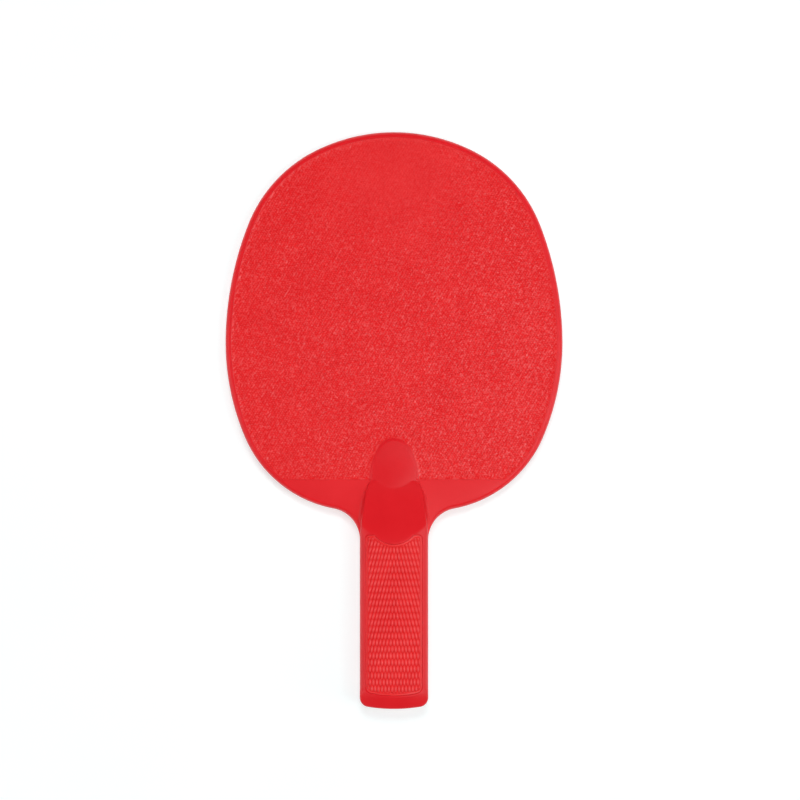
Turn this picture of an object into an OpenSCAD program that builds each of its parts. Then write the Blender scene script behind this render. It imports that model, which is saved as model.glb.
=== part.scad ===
// Table tennis paddle: a moulded blade plate whose tang runs through the handle, a thin pebbled skin let
// into each face, two crowned handle halves screwed together over the tang, and a textured grip panel
// let into each half.
// Millimetres. The paddle lies flat: X across the blade, Y towards the tip, Z up through the thickness.
// The origin is under the middle of the outline, at the lowest point of the handle.

/* [Overall] */
// Length from the tip of the blade to the butt of the handle
paddle_l = 260; // [256:1:266]
// Thickness of the handle, the thickest part of the paddle
paddle_t = 24; // [23:0.5:26]

/* [Blade outline] */
// Radius of the arc across the tip
tip_r = 79.5; // [78:0.5:81]
// Radius of the arc over each upper shoulder
shoulder_r = 63; // [62:0.5:64]
// Radius of the arc down each side
side_r = 147; // [145:1:149]
// Radius of the arc below each side
lower_r = 109; // [107:1:111]
// Radius of the arc that turns in towards the neck
cheek_r = 54.3; // [53.5:0.1:55]
// Angle that the tip arc turns on each half
tip_turn = 26.2; // [26:0.1:26.5]
// Angle that the shoulder arc turns
shoulder_turn = 42.3; // [42:0.1:42.6]
// Angle that the side arc turns
side_turn = 20.8; // [20.5:0.1:21]
// Angle that the lower arc turns
lower_turn = 24; // [23.8:0.1:24.2]
// Angle that the hollow neck arc turns back through
neck_turn = 79.5; // [79:0.1:80]

/* [Blade section] */
// Thickness of the blade
blade_t = 6; // [5.5:0.25:7]
// Width of the rounding along the rim
rim_w = 2.1; // [1.8:0.1:2.4]
// Thickness of the playing skin let into each face
skin_t = 0.8; // [0.6:0.1:1]
// Gap between the skin and the edge of its pocket
skin_gap = 0.1; // [0.05:0.05:0.2]
// Width of the flat land between the rim's rounding and that pocket
rim_land = 0.45; // [0.4:0.05:0.6]
// Height of the straight lower edge of the playing skin
skin_edge_y = -26.9; // [-28:0.1:-26]

/* [Handle outline] */
// Width of the handle
handle_w = 30.8; // [30:0.2:31.6]
// Radius of the slightly bowed end of the handle
butt_r = 80; // [70:1:90]
// Radius of the handle's two bottom corners
butt_corner_r = 4.2; // [3.5:0.1:5]
// Half width of the flat top of the neck block
neck_top_w = 8.4; // [8:0.1:8.8]
// Radius of the neck block's two top corners
neck_corner_r = 4; // [3.6:0.1:4.2]
// Where the handle's sides start to draw in towards the neck
neck_start_y = -51; // [-52:0.5:-50]

/* [Handle section] */
// Radius of the crown across each broad face of the handle
crown_r = 46; // [42:1:60]
// Radius where the crown rolls over into the sides
side_roll_r = 3; // [2.5:0.1:3.4]
// Slope of the bevel at the butt
butt_slope = 19; // [14:1:20]
// Length of the bevel at the butt
butt_bevel_l = 5.8; // [5:0.1:6]
// Depth of the hollow inside each handle half
hollow_h = 4; // [3:0.5:4.5]
// Thickness of the side walls round that hollow
wall_t = 3.2; // [3:0.1:4]

/* [Neck ramp and tongue] */
// Where the ramp leaves the tongue, on the middle line
ramp_foot_y = -30.7; // [-31:0.1:-30]
// Where the ramp reaches the top of the handle, on the middle line
ramp_top_y = -56.1; // [-57:0.1:-56]
// Slope of the ramp at its two ends
ramp_end_slope = 10; // [8:1:12]
// Half width of the tongue where it starts
tongue_w = 11.1; // [10.8:0.1:11.4]
// Length of the tongue up the blade
tongue_l = 18.7; // [18:0.1:19.5]
// Radius of the tongue's round end
tongue_tip_r = 8; // [7.6:0.1:8.4]
// Height of the tongue over the playing surface, where the ramp leaves it
tongue_h = 1.3; // [1.2:0.1:1.6]
// Radius of the crown across the tongue
tongue_crown_r = 60; // [56:1:90]
// Angle by which the tongue falls towards the tip of the blade
tongue_fall = 2.4; // [1.5:0.1:2.5]

/* [Grip panel] */
// Half width of the recess that the grip insert sits in
recess_w = 12.6; // [12.2:0.1:12.8]
// Height of the recess's straight top edge
recess_top_y = -51.9; // [-52.5:0.1:-51.5]
// Lowest point of the recess's bowed bottom edge
recess_end_y = -123.8; // [-124:0.1:-123]
// Radius of the recess's bowed bottom edge
recess_end_r = 49; // [45:1:55]
// Radius of the recess's two bottom corners
recess_corner_r = 3; // [2.5:0.1:3.5]
// Radius of the recess's two top corners
recess_top_r = 1.6; // [1.2:0.1:2]
// Depth of the recess at the middle of the crown
recess_d = 3; // [2.6:0.1:3.2]
// Radius of the collar that bulges down into the recess
collar_r = 11.6; // [11:0.1:12.5]
// Width of the groove round the grip insert
groove_w = 0.45; // [0.3:0.05:0.6]
// How far the grip insert lies below the handle's surface
insert_drop = 0.1; // [0.05:0.05:0.2]

/* [Fixings] */
// Distance between the three screws
screw_pitch = 26; // [25:0.5:26.5]
// Height of the middle screw
screw_mid_y = -90; // [-91:0.5:-89]
// Diameter of a screw's shank
screw_d = 2.9; // [2.5:0.1:3]
// Diameter of a screw's pan head
screw_head_d = 5.6; // [5:0.1:5.8]
// Height of a screw's pan head
screw_head_h = 1.8; // [1.6:0.1:2]
// Length of a screw under its head
screw_l = 13; // [12:0.5:13.5]
// Diameter of the bosses that the screws go through
boss_d = 8; // [7.5:0.1:9]
// Diameter of the two dowels that line the halves up with the tang
dowel_d = 4; // [3:0.5:4]
// Length of a dowel
dowel_l = 10; // [9:0.5:11]
// Clearance round every hidden pin and screw
pin_gap = 0.04; // [0.02:0.01:0.06]
// Diameter of the two pegs under each grip insert
peg_d = 3; // [2.5:0.1:3.5]
// Length of the pegs
peg_l = 1.6; // [1.2:0.1:1.8]

/* [Hidden] */
$fn = 96;
paddle_red = [0.87, 0.16, 0.18];
steel_grey = [0.62, 0.63, 0.65];
over = 1;
tip_y = paddle_l / 2;
butt_y = -paddle_l / 2;
half_t = paddle_t / 2;
half_w = handle_w / 2;
face_z = blade_t / 2;
floor_z = half_t - recess_d;
pocket_inset = rim_w + rim_land;
ring_w = 20;
rim_steps = 4;
outline_chords = 12;
span = 2 * paddle_l;

// The outline is a chain of tangent arcs. A heading is the angle turned since the tip.
arc_r = [tip_r, shoulder_r, side_r, lower_r, cheek_r];
first_turns = tip_turn + shoulder_turn + side_turn + lower_turn;
arc_turn = [tip_turn, shoulder_turn, side_turn, lower_turn, 90 + neck_turn - first_turns];
arcs = len(arc_r);
function heading(i) = i == 0 ? 0 : heading(i - 1) + arc_turn[i - 1];
function normal(a) = [sin(a), cos(a)];
function arc_centre(i) = i == 0
    ? [0, tip_y - tip_r]
    : arc_centre(i - 1) + (arc_r[i - 1] - arc_r[i]) * normal(heading(i));
function joint(i) = i == 0 ? [0, tip_y] : arc_centre(i - 1) + arc_r[i - 1] * normal(heading(i));
function flip(p) = [-p.x, p.y];

// Points along an arc from angle a to angle b, in n chords, and the same points without the two ends.
function arc(c, r, a, b, n) = [for (i = [0:n]) c + r * [cos(a + (b - a) * i / n), sin(a + (b - a) * i / n)]];
function inner_arc(c, r, a, b, n) = [for (i = [1:n - 1]) arc(c, r, a, b, n)[i]];

// The hollow neck arc starts where the last arc ends, and ends parallel to the handle's side.
cheek_end = joint(arcs);
cheek_heading = heading(arcs);
neck_r = (cheek_end.x - half_w) / (1 - sin(cheek_heading));
neck_c = cheek_end + neck_r * normal(cheek_heading);
neck_band = 6;

// The ramp's side view: a hollow arc, then an equal bulging arc, at the same slope at both ends.
ramp_foot_z = face_z + tongue_h;
ramp_run = ramp_foot_y - ramp_top_y;
ramp_rise = half_t - ramp_foot_z;
ramp_mid_slope = 2 * atan(ramp_rise / ramp_run) - ramp_end_slope;
ramp_r = ramp_run / 2 / (sin(ramp_mid_slope) - sin(ramp_end_slope));
ramp_mid = [(ramp_foot_y + ramp_top_y) / 2, (ramp_foot_z + half_t) / 2];
ramp_reach = 8;

// The tongue's side arcs run parallel to the handle where they start, and meet its round end smoothly.
tongue_side_r = (pow(tongue_l, 2) + pow(tongue_w, 2) - 2 * tongue_l * tongue_tip_r)
    / (2 * (tongue_w - tongue_tip_r));
tongue_side_x = tongue_side_r - tongue_w;
tongue_tip_y = skin_edge_y + tongue_l - tongue_tip_r;
tongue_tangent = atan2(tongue_l - tongue_tip_r, tongue_side_x);

// The neck block's top corners, and the point where the drawn-in side touches each.
neck_corner = [neck_top_w, skin_edge_y - neck_corner_r];
neck_line = [half_w, neck_start_y] - neck_corner;
neck_touch = atan2(neck_line.y, neck_line.x) + acos(neck_corner_r / norm(neck_line));

// Hidden fixings.
screw_ys = [for (i = [-1:1]) screw_mid_y + i * screw_pitch];
dowel_ys = [for (i = [-1, 1]) screw_mid_y + i * screw_pitch / 2];
peg_x = 8;
head_seat_z = -floor_z + screw_head_h + 0.2;
hole_d = screw_d + 2 * pin_gap;
dowel_hole_d = dowel_d + 2 * pin_gap;
collar_c = ramp_top_y + collar_r;
hollow_top_y = ramp_top_y - 2;
hollow_end_y = recess_end_y + 3;

// Everything is drawn about the middle plane of the blade, then lifted.
module lifted() {
    translate([0, 0, half_t])
        children();
}

module both_sides() {
    children();
    mirror([1, 0, 0])
        children();
}

module rear() {
    mirror([0, 0, 1])
        children();
}

// Edge of the plate in section: its outer edge is at x = 0, and the plate lies towards -x. Each corner is
// rounded by a few equal chords.
module edge_section(w) {
    top = arc([-rim_w, face_z - rim_w], rim_w, 0, 90, rim_steps);
    bottom = [for (i = [rim_steps:-1:0]) [top[i].x, -top[i].y]];
    polygon(concat([[-w, -face_z]], bottom, top, [[-w, face_z]]));
}

// One arc of the blade's outline as a turned band.
module outline_band(i) {
    c = arc_centre(i);
    translate([c.x, c.y, 0])
        rotate([0, 0, 90 - heading(i + 1)])
            rotate_extrude(angle = arc_turn[i])
                translate([arc_r[i], 0])
                    edge_section(ring_w);
}

// The blade down to the neck.
module blade_blank() {
    right = [for (i = [0:arcs]) joint(i) - ring_w / 2 * normal(heading(i))];
    left = [for (i = [arcs:-1:1]) flip(right[i])];
    both_sides()
        for (i = [0:arcs - 1])
            outline_band(i);
    translate([0, 0, -face_z])
        linear_extrude(blade_t)
            polygon(concat(right, left));
}

// The webs on both sides of the neck, with their hollow rounded edges.
module neck_web() {
    inner = cheek_end - ring_w / 2 * normal(cheek_heading);
    both_sides()
        translate([neck_c.x, neck_c.y, 0])
            rotate([0, 0, 270 - cheek_heading])
                rotate_extrude(angle = neck_turn)
                    translate([neck_r, 0])
                        mirror([1, 0])
                            edge_section(neck_band);
    translate([0, 0, -face_z])
        linear_extrude(blade_t)
            difference() {
                polygon([flip(inner), inner, neck_c, flip(neck_c)]);
                both_sides()
                    translate(neck_c)
                        circle(r = neck_r + neck_band / 2);
            }
}

// The right half of the blade's outline, moved in by inset, from the tip down to the height edge_y.
function right_outline(inset, edge_y) =
    let (
        last = arcs - 1,
        low = acos((edge_y - arc_centre(last).y) / (arc_r[last] - inset))
    )
    [
        for (i = [0:last])
            let (end = i == last ? low : heading(i + 1))
            each [
                for (k = [(i == 0 ? 0 : 1):outline_chords])
                    let (a = heading(i) + (end - heading(i)) * k / outline_chords)
                    arc_centre(i) + (arc_r[i] - inset) * normal(a)
            ]
    ];

// The playing surface, as a slab centred on z = 0.
module playing_area(inset, t, edge_y) {
    right = right_outline(inset, edge_y);
    left = [for (i = [len(right) - 1:-1:1]) flip(right[i])];
    translate([0, 0, -t / 2])
        linear_extrude(t)
            polygon(concat(right, left));
}

// The tongue's outline above the skin's lower edge, grown by g.
module tongue_plan(g) {
    side_c = [tongue_side_x, skin_edge_y];
    polygon(concat(
        arc(flip(side_c), tongue_side_r + g, 0, tongue_tangent, 6),
        inner_arc([0, tongue_tip_y], tongue_tip_r + g, tongue_tangent, 180 - tongue_tangent, 12),
        arc(side_c, tongue_side_r + g, 180 - tongue_tangent, 180, 6)
    ));
}

// The bowed bottom end of a panel with its two round corners, from the left side to the right.
function bowed_end(hw, end_y, end_r, corner_r) =
    let (
        bow = [0, end_y + end_r],
        corner_x = hw - corner_r,
        turn = asin(corner_x / (end_r - corner_r)),
        corner = [corner_x, bow.y - (end_r - corner_r) * cos(turn)]
    )
    concat(
        arc(flip(corner), corner_r, 180, 270 - turn, 6),
        inner_arc(bow, end_r, 270 - turn, 270 + turn, 12),
        arc(corner, corner_r, 270 + turn, 360, 6)
    );

// The outline of the handle and the neck block.
module handle_plan() {
    polygon(concat(
        bowed_end(half_w, butt_y, butt_r, butt_corner_r),
        [[half_w, neck_start_y]],
        arc(neck_corner, neck_corner_r, neck_touch, 90, 6),
        arc(flip(neck_corner), neck_corner_r, 90, 180 - neck_touch, 6),
        [[-half_w, neck_start_y]]
    ));
}

// The handle half seen from its end: a crown that rolls over into straight sides.
module crown_section() {
    crown_z = half_t - crown_r;
    roll_x = half_w - side_roll_r;
    roll_z = crown_z + sqrt(pow(crown_r - side_roll_r, 2) - pow(roll_x, 2));
    turn = atan2(roll_z - crown_z, roll_x);
    polygon(concat(
        [[-half_w, 0], [half_w, 0]],
        arc([roll_x, roll_z], side_roll_r, 0, turn, 5),
        inner_arc([0, crown_z], crown_r, turn, 180 - turn, 18),
        arc([-roll_x, roll_z], side_roll_r, 180 - turn, 180, 5)
    ));
}

// The handle half seen from its side, with y along the first axis.
module side_section() {
    top = [ramp_top_y, half_t];
    foot = [ramp_foot_y, ramp_foot_z];
    end_dir = [sin(ramp_end_slope), cos(ramp_end_slope)];
    polygon(concat(
        [
            [ramp_foot_y + ramp_reach, 0],
            [ramp_foot_y + ramp_reach, ramp_foot_z - ramp_reach * tan(ramp_end_slope)]
        ],
        arc(foot + ramp_r * end_dir, ramp_r, 270 - ramp_end_slope, 270 - ramp_mid_slope, 8),
        inner_arc(top - ramp_r * end_dir, ramp_r, 90 - ramp_mid_slope, 90 - ramp_end_slope, 8),
        [
            top,
            [butt_y + butt_bevel_l, half_t],
            [butt_y - over, half_t - (butt_bevel_l + over) * tan(butt_slope)],
            [butt_y - over, 0]
        ]
    ));
}

// The recess for the grip insert, moved in by g.
module recess_plan(g) {
    top_corner = [recess_w - recess_top_r, recess_top_y - recess_top_r];
    top_r = recess_top_r - g;
    rim_r = collar_r + g;
    dip = asin((recess_top_y - g - collar_c) / rim_r);
    polygon(concat(
        bowed_end(recess_w - g, recess_end_y + g, recess_end_r - g, recess_corner_r - g),
        arc(top_corner, top_r, 0, 90, 5),
        arc([0, collar_c], rim_r, dip, -180 - dip, 14),
        arc(flip(top_corner), top_r, 90, 180, 5)
    ));
}

// A round pin or hole between two heights.
module post(x, y, d, z0, z1) {
    translate([x, y, z0])
        cylinder(d = d, h = z1 - z0);
}

// Outer form of a handle half: neck ramp, crown, bevelled butt and tongue.
module scale_form() {
    intersection() {
        translate([0, 0, face_z])
            linear_extrude(half_t)
                handle_plan();
        translate([-span / 2, 0, 0])
            rotate([90, 0, 90])
                linear_extrude(span)
                    side_section();
        translate([0, span / 2, 0])
            rotate([90, 0, 0])
                linear_extrude(span)
                    crown_section();
    }
    intersection() {
        union() {
            translate([0, 0, face_z - skin_t])
                linear_extrude(half_t)
                    tongue_plan(0);
            translate([-tongue_w, ramp_foot_y - over, face_z])
                cube([2 * tongue_w, skin_edge_y - ramp_foot_y + over, half_t]);
        }
        translate([0, ramp_foot_y, ramp_foot_z])
            rotate([-tongue_fall, 0, 0])
                translate([0, 0, -tongue_crown_r])
                    rotate([90, 0, 0])
                        cylinder(r = tongue_crown_r, h = 4 * tongue_l, center = true, $fn = 360);
    }
}

// A handle half with its recess, peg holes, dowel holes and hollow. The bosses are left standing.
module scale_half() {
    difference() {
        scale_form();
        translate([0, 0, floor_z])
            linear_extrude(half_t)
                recess_plan(0);
        difference() {
            translate([0, 0, face_z - over])
                linear_extrude(hollow_h + over)
                    hollow_plan();
            for (y = concat(screw_ys, dowel_ys))
                post(0, y, boss_d, 0, half_t);
        }
        for (y = dowel_ys)
            post(0, y, dowel_hole_d, face_z - over, dowel_l / 2 + 0.3);
        for (x = [-peg_x, peg_x])
            post(x, screw_mid_y, peg_d + 2 * pin_gap, face_z + hollow_h - over, floor_z + over);
    }
}

// The hollow inside a handle half.
module hollow_plan() {
    hw = half_w - wall_t;
    polygon(concat(
        bowed_end(hw, hollow_end_y, recess_end_r, recess_corner_r),
        [[hw, hollow_top_y], [-hw, hollow_top_y]]
    ));
}

module grip_insert_half() {
    intersection() {
        translate([0, 0, floor_z])
            linear_extrude(half_t)
                recess_plan(groove_w);
        translate([0, 0, half_t - insert_drop - crown_r])
            rotate([90, 0, 0])
                cylinder(r = crown_r, h = span, center = true, $fn = 360);
    }
    for (x = [-peg_x, peg_x])
        post(x, screw_mid_y, peg_d, floor_z - peg_l, floor_z + over);
}

module face_skin_half() {
    translate([0, 0, face_z - skin_t / 2])
        playing_area(pocket_inset + skin_gap, skin_t, skin_edge_y + skin_gap);
}

module blade_plate() {
    color(paddle_red)
        lifted()
            difference() {
                union() {
                    blade_blank();
                    neck_web();
                    translate([0, 0, -face_z])
                        linear_extrude(blade_t)
                            handle_plan();
                }
                for (s = [-1, 1])
                    translate([0, 0, s * face_z])
                        playing_area(pocket_inset, 2 * skin_t, skin_edge_y);
                for (y = screw_ys)
                    post(0, y, hole_d, -blade_t, blade_t);
                for (y = dowel_ys)
                    post(0, y, dowel_hole_d, -blade_t, blade_t);
            }
}

module notched_skin() {
    difference() {
        face_skin_half();
        linear_extrude(blade_t)
            tongue_plan(skin_gap);
    }
}

module front_face_skin() {
    color(paddle_red)
        lifted()
            notched_skin();
}

module rear_face_skin() {
    color(paddle_red)
        lifted()
            rear()
                notched_skin();
}

// The front half has blind holes that the screws bite into.
module front_handle_scale() {
    color(paddle_red)
        lifted()
            difference() {
                scale_half();
                for (y = screw_ys)
                    post(0, y, hole_d, 0, head_seat_z + screw_l + 0.4);
            }
}

// The rear half has through holes and a seat for each screw's head.
module rear_handle_scale() {
    color(paddle_red)
        lifted()
            difference() {
                rear()
                    scale_half();
                for (y = screw_ys) {
                    post(0, y, hole_d, -half_t, 0);
                    post(0, y, screw_head_d + 0.6, -half_t, head_seat_z);
                }
            }
}

module front_grip_insert() {
    color(paddle_red)
        lifted()
            grip_insert_half();
}

module rear_grip_insert() {
    color(paddle_red)
        lifted()
            rear()
                grip_insert_half();
}

// A pan head screw with a cross recess, pointing up, with its head's bearing face at z = 0.
module screw() {
    slot_w = 0.8;
    slot_l = 3;
    slot_d = 1;
    difference() {
        union() {
            cylinder(d = screw_d, h = screw_l);
            translate([0, 0, -screw_head_h])
                cylinder(d = screw_head_d, h = screw_head_h);
        }
        for (a = [0, 90])
            rotate([0, 0, a])
                translate([-slot_l / 2, -slot_w / 2, -screw_head_h - over])
                    cube([slot_l, slot_w, slot_d + over]);
    }
}

module scale_screws() {
    color(steel_grey)
        lifted()
            for (y = screw_ys)
                translate([0, y, head_seat_z])
                    screw();
}

module tang_dowels() {
    color(steel_grey)
        lifted()
            for (y = dowel_ys)
                post(0, y, dowel_d, -dowel_l / 2, dowel_l / 2);
}

blade_plate();
front_face_skin();
rear_face_skin();
front_handle_scale();
rear_handle_scale();
front_grip_insert();
rear_grip_insert();
scale_screws();
tang_dowels();
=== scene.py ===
"""Looks of the moulded table tennis paddle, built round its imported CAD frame.

The script's own unit is the millimetre, and heights are measured from the blade's middle plane: X across the
blade, Y towards the tip, Z up. Each rear piece is its front piece mirrored.
"""

import functools
import math

import bmesh
import bpy
import numpy as np
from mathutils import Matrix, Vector
from mathutils.geometry import delaunay_2d_cdt


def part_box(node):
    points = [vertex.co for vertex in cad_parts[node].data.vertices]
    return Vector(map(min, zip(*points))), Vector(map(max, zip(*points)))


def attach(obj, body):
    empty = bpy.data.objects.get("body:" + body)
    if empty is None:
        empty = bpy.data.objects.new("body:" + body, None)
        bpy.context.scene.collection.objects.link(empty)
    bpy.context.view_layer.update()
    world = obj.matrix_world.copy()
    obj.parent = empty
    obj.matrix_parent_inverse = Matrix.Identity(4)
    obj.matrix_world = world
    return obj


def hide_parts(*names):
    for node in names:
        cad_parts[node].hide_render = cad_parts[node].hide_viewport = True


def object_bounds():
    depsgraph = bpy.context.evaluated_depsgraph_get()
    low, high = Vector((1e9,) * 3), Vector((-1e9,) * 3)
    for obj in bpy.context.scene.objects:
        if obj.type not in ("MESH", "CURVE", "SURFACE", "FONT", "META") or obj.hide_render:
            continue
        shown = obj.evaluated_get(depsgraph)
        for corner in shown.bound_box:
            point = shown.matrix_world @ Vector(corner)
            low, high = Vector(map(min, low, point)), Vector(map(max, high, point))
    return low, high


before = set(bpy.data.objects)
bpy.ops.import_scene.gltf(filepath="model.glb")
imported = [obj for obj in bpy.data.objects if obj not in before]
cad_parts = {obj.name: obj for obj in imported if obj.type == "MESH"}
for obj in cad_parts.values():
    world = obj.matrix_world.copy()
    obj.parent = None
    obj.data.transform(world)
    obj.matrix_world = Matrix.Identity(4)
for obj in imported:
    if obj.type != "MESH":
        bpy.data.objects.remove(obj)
cad_lo, cad_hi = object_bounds()

MM = 0.001


def span_mm(node, axis):
    """Lowest and highest value of a CAD node along one axis, in millimetres."""
    lo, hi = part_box(node)
    return lo[axis] / MM, hi[axis] / MM


# ---------------------------------------------------------------------------------------------------------
# Driving dimensions: the frame gives the overall ones, and these groups repeat part.scad
# ---------------------------------------------------------------------------------------------------------
TIP_Y = cad_hi.y / MM
BUTT_Y = cad_lo.y / MM
HALF_T = (cad_hi.z - cad_lo.z) / 2 / MM
HALF_W = span_mm("front_handle_scale", 0)[1]
FACE_Z = span_mm("front_face_skin", 2)[1] - HALF_T
SKIN_BED_Z = span_mm("front_face_skin", 2)[0] - HALF_T
BED_GAP = 0.1
SKIN_EDGE_Y = span_mm("front_face_skin", 1)[0] - BED_GAP
FLOOR_Z = 9.0

# Outline: radius and turn in degrees of each tangent arc, from the tip round to the neck
OUTLINE_ARCS = ((79.5, 26.2), (63.0, 42.3), (147.0, 20.8), (109.0, 24.0), (54.3, 56.2))
NECK_TURN = 79.5
POCKET_INSET = 2.55

# Handle
BUTT_R = 80.0
BUTT_CORNER_R = 4.2
NECK_TOP_W = 8.4
NECK_CORNER_R = 4.0
NECK_START_Y = -51.0
CROWN_R = 46.0
SIDE_ROLL_R = 3.0
BUTT_SLOPE = math.radians(19)
BUTT_BEVEL_L = 5.8

# Neck ramp and tongue
RAMP_FOOT_Y = -30.7
RAMP_TOP_Y = -56.1
RAMP_END_SLOPE = math.radians(10)
TONGUE_W = 11.1
TONGUE_L = 18.7
TONGUE_TIP_R = 8.0
TONGUE_H = 1.3
TONGUE_CROWN_R = 60.0

# Recess for the grip insert
RECESS_W = 12.6
RECESS_TOP_Y = -51.9
RECESS_END_Y = -123.8
RECESS_END_R = 49.0
RECESS_CORNER_R = 3.0
RECESS_TOP_R = 1.6
COLLAR_R = 11.6

# Hidden fixings
SCREW_YS = (-116.0, -90.0, -64.0)
DOWEL_YS = (-103.0, -77.0)
SCREW_HOLE_D = 2.98
SCREW_HOLE_L = 3.4
DOWEL_HOLE_D = 4.08
DOWEL_HOLE_L = 2.3
SCREW_SEAT_D = 6.2
BOSS_D = 8.0
HOLLOW_ROOF_Z = FACE_Z + 4
HOLLOW_W = HALF_W - 3.2
HOLLOW_TOP_Y = RAMP_TOP_Y - 2
HOLLOW_END_Y = RECESS_END_Y + 3
PEG_X = 8.0
PEG_Y = -90.0
PEG_D = 3.0
PEG_HOLE_D = 3.08
PEG_L = 1.6

# ---------------------------------------------------------------------------------------------------------
# The visual model's own dimensions
# ---------------------------------------------------------------------------------------------------------
# Rounded rim of the blade, and the hairline gaps between pieces
RIM_W = 1.9
RIM_H = 2.75
RIM_STEPS = 8
SEAM = 0.14
SKIN_GAP = 0.03
GROOVE_W = 0.03
CLEARANCE = 0.01

# Rounded edges and creases of the handle
NECK_ROLL_R = 0.4
BUTT_ROLL_R = 0.8
TONGUE_ROLL_R = 0.02
LIP_R = 0.6
ROLL_GROWS_Y = (-45, -56)
ROLL_SHRINKS_Y = (-119, -124)
BEVEL_BLEND = 2.6
CREASE_BLEND = 0.35
TONGUE_BLEND = 0.1

# Neck block: its rounded top edge, the slope of its sides, and the fillet at their foot on the wings
BLOCK_EDGE_R = 1.2
BLOCK_SLOPE = 1.6
BLOCK_INSET = 0.02
BLOCK_STARTS = (-1.5, 0.5)
WING_STARTS_Y = (-49, -44)
WING_END_Y = -31
FOOT_FILLET_R = 1.8
FOOT_FILLET_SHARE = 0.85
FLARE_STEPS = (0, 0.25, 0.5, 0.75)
FLARE_RISE = 0.9
FLARE_POWER = 1.7

# Tongue: its feathered edge, and the share of its height that is left from there to its tip
TONGUE_FEATHER = 1.3
TONGUE_FLAT_Y = -15.5
TONGUE_FLAT_SHARE = 0.22

# Pebbles: the rows of joined tops run at right angles to the grain's heading
PEBBLE_PITCH = 1.02
PEBBLE_JITTER = 0.3
PEBBLE_CLEAR = 0.3
PEBBLE_DEPTH = 0.34
PEBBLE_EDGE_W = 1.6
PEBBLE_EDGE_SHARE = 0.3
GRAIN_HEADING = math.radians(-30)
GRAIN_STRETCH = 1.3
GRAIN_SQUEEZE = 1.1

# How far pebble tops, creases and the links across creases lie below the face, as shares of the depth
TOP_DROP = (0.0, 0.45)
CREASE_DROP = (0.7, 1.1)
LINK_DROP = (0.3, 0.6)
LINK_SHARE = 0.12
MEAN_DROP = 0.6
# The relief at the skin's edge, which sets its painted shade and painted highlight there
EDGE_RELIEF = 0.45

# The pebbles soften towards a spot near the blade's tip
SOFT_SPOT = (2, 116)
SOFT_FROM = 5
SOFT_TO = 60
SOFT_SHARE = 0.35

# Grip bumps: they lean away from the middle, and more so up the handle, and a ledge runs round them
GRIP_PITCH_X = 1.537
GRIP_PITCH_Y = 2.97
GRIP_DEPTH = 0.62
GRIP_TOP_DROP = 0.12
GRIP_BUMP_HALF_L = 1.7
GRIP_BUMP_HALF_W = 0.66
GRIP_BUMP_POWER = 0.7
GRIP_LEAN = 0.24
GRIP_LEAN_X = 5
GRIP_LEAN_GROWS_Y = (-118, -80)
GRIP_LEDGE_W = 0.4
GRIP_LEDGE_DROP = 0.62
GRIP_LEDGE_RISE_W = 0.45
# The ledge's relief sets how much painted shade it gets
GRIP_LEDGE_RELIEF = 0.4
GRIP_FIELD_FROM = 0.2
GRIP_FIELD_TO = 0.9

# Spacing of the points on wide areas, round the neck block's foot and along the skins' lower edges,
# and how far they stay from the edges
WIDE_STEP = 0.5
FINE_STEP = 0.22
FINE_BAND = 8
SKIN_STEP = 1.1
EDGE_CLEAR = 0.12
GRIP_EDGE_CLEAR = 0.09

# Cells of the grip's grid across and along a bump, and rings of points on the rounded side and on the lip
GRIP_CELLS_X = 9
GRIP_CELLS_Y = 14
ROLL_TURNS = range(12, 91, 12)
LIP_STEPS = (0.08, 0.3, 0.6, 1.0)

# Points closer than this are one, in millimetres in the loops and in metres in the finished meshes
SAME_POINT = 1e-4
WELD_M = 1e-7

# A difference that doesn't count, and how many points are worked on at a time
TINY = 1e-6
CHUNK = 2000


# ---------------------------------------------------------------------------------------------------------
# Plane geometry
# ---------------------------------------------------------------------------------------------------------
def arc(centre, radius, a, b, step=0.6):
    """Points on an arc from angle a to angle b in degrees, with both ends, about step millimetres apart."""
    length = radius * math.radians(abs(b - a))
    n = max(3, math.ceil(length / step))
    t = np.radians(np.linspace(a, b, n + 1))
    return np.array(centre) + radius * np.column_stack([np.cos(t), np.sin(t)])


def line(a, b, step=0.6):
    """Points on a straight line, with both ends."""
    n = max(1, math.ceil(math.dist(a, b) / step))
    t = np.linspace(0, 1, n + 1)[:, None]
    return np.array(a) * (1 - t) + np.array(b) * t


def circle(x, y, d, n=32):
    """A closed loop of points on a circle."""
    t = np.linspace(0, 2 * math.pi, n, endpoint=False)
    return np.array([x, y]) + d / 2 * np.column_stack([np.cos(t), np.sin(t)])


def flipped(points):
    """The points mirrored to the left side, in the opposite order."""
    return (points * [-1, 1])[::-1]


def joined(*pieces):
    """One closed loop from pieces that follow each other, with repeated points dropped."""
    points = np.vstack(pieces)
    after = np.roll(points, -1, axis=0)
    return points[np.hypot(*(after - points).T) > SAME_POINT]


def normals_of(loop):
    """Unit normals of an anticlockwise closed loop, pointing out of it."""
    along = np.roll(loop, -1, axis=0) - np.roll(loop, 1, axis=0)
    out = np.column_stack([along[:, 1], -along[:, 0]])
    return out / np.hypot(*out.T)[:, None]


def inside(points, loops):
    """True for each point within an odd number of the loops."""
    found = np.zeros(len(points), bool)
    for loop in loops:
        x0, y0 = loop.T
        x1, y1 = np.roll(loop, -1, axis=0).T
        rise = np.where(y1 == y0, 1e-12, y1 - y0)
        for k in range(0, len(points), CHUNK):
            x, y = points[k : k + CHUNK].T[:, :, None]
            crosses = (y0 > y) != (y1 > y)
            crosses &= x < x0 + (y - y0) / rise * (x1 - x0)
            found[k : k + CHUNK] ^= crosses.sum(axis=1) % 2 == 1
    return found


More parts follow.
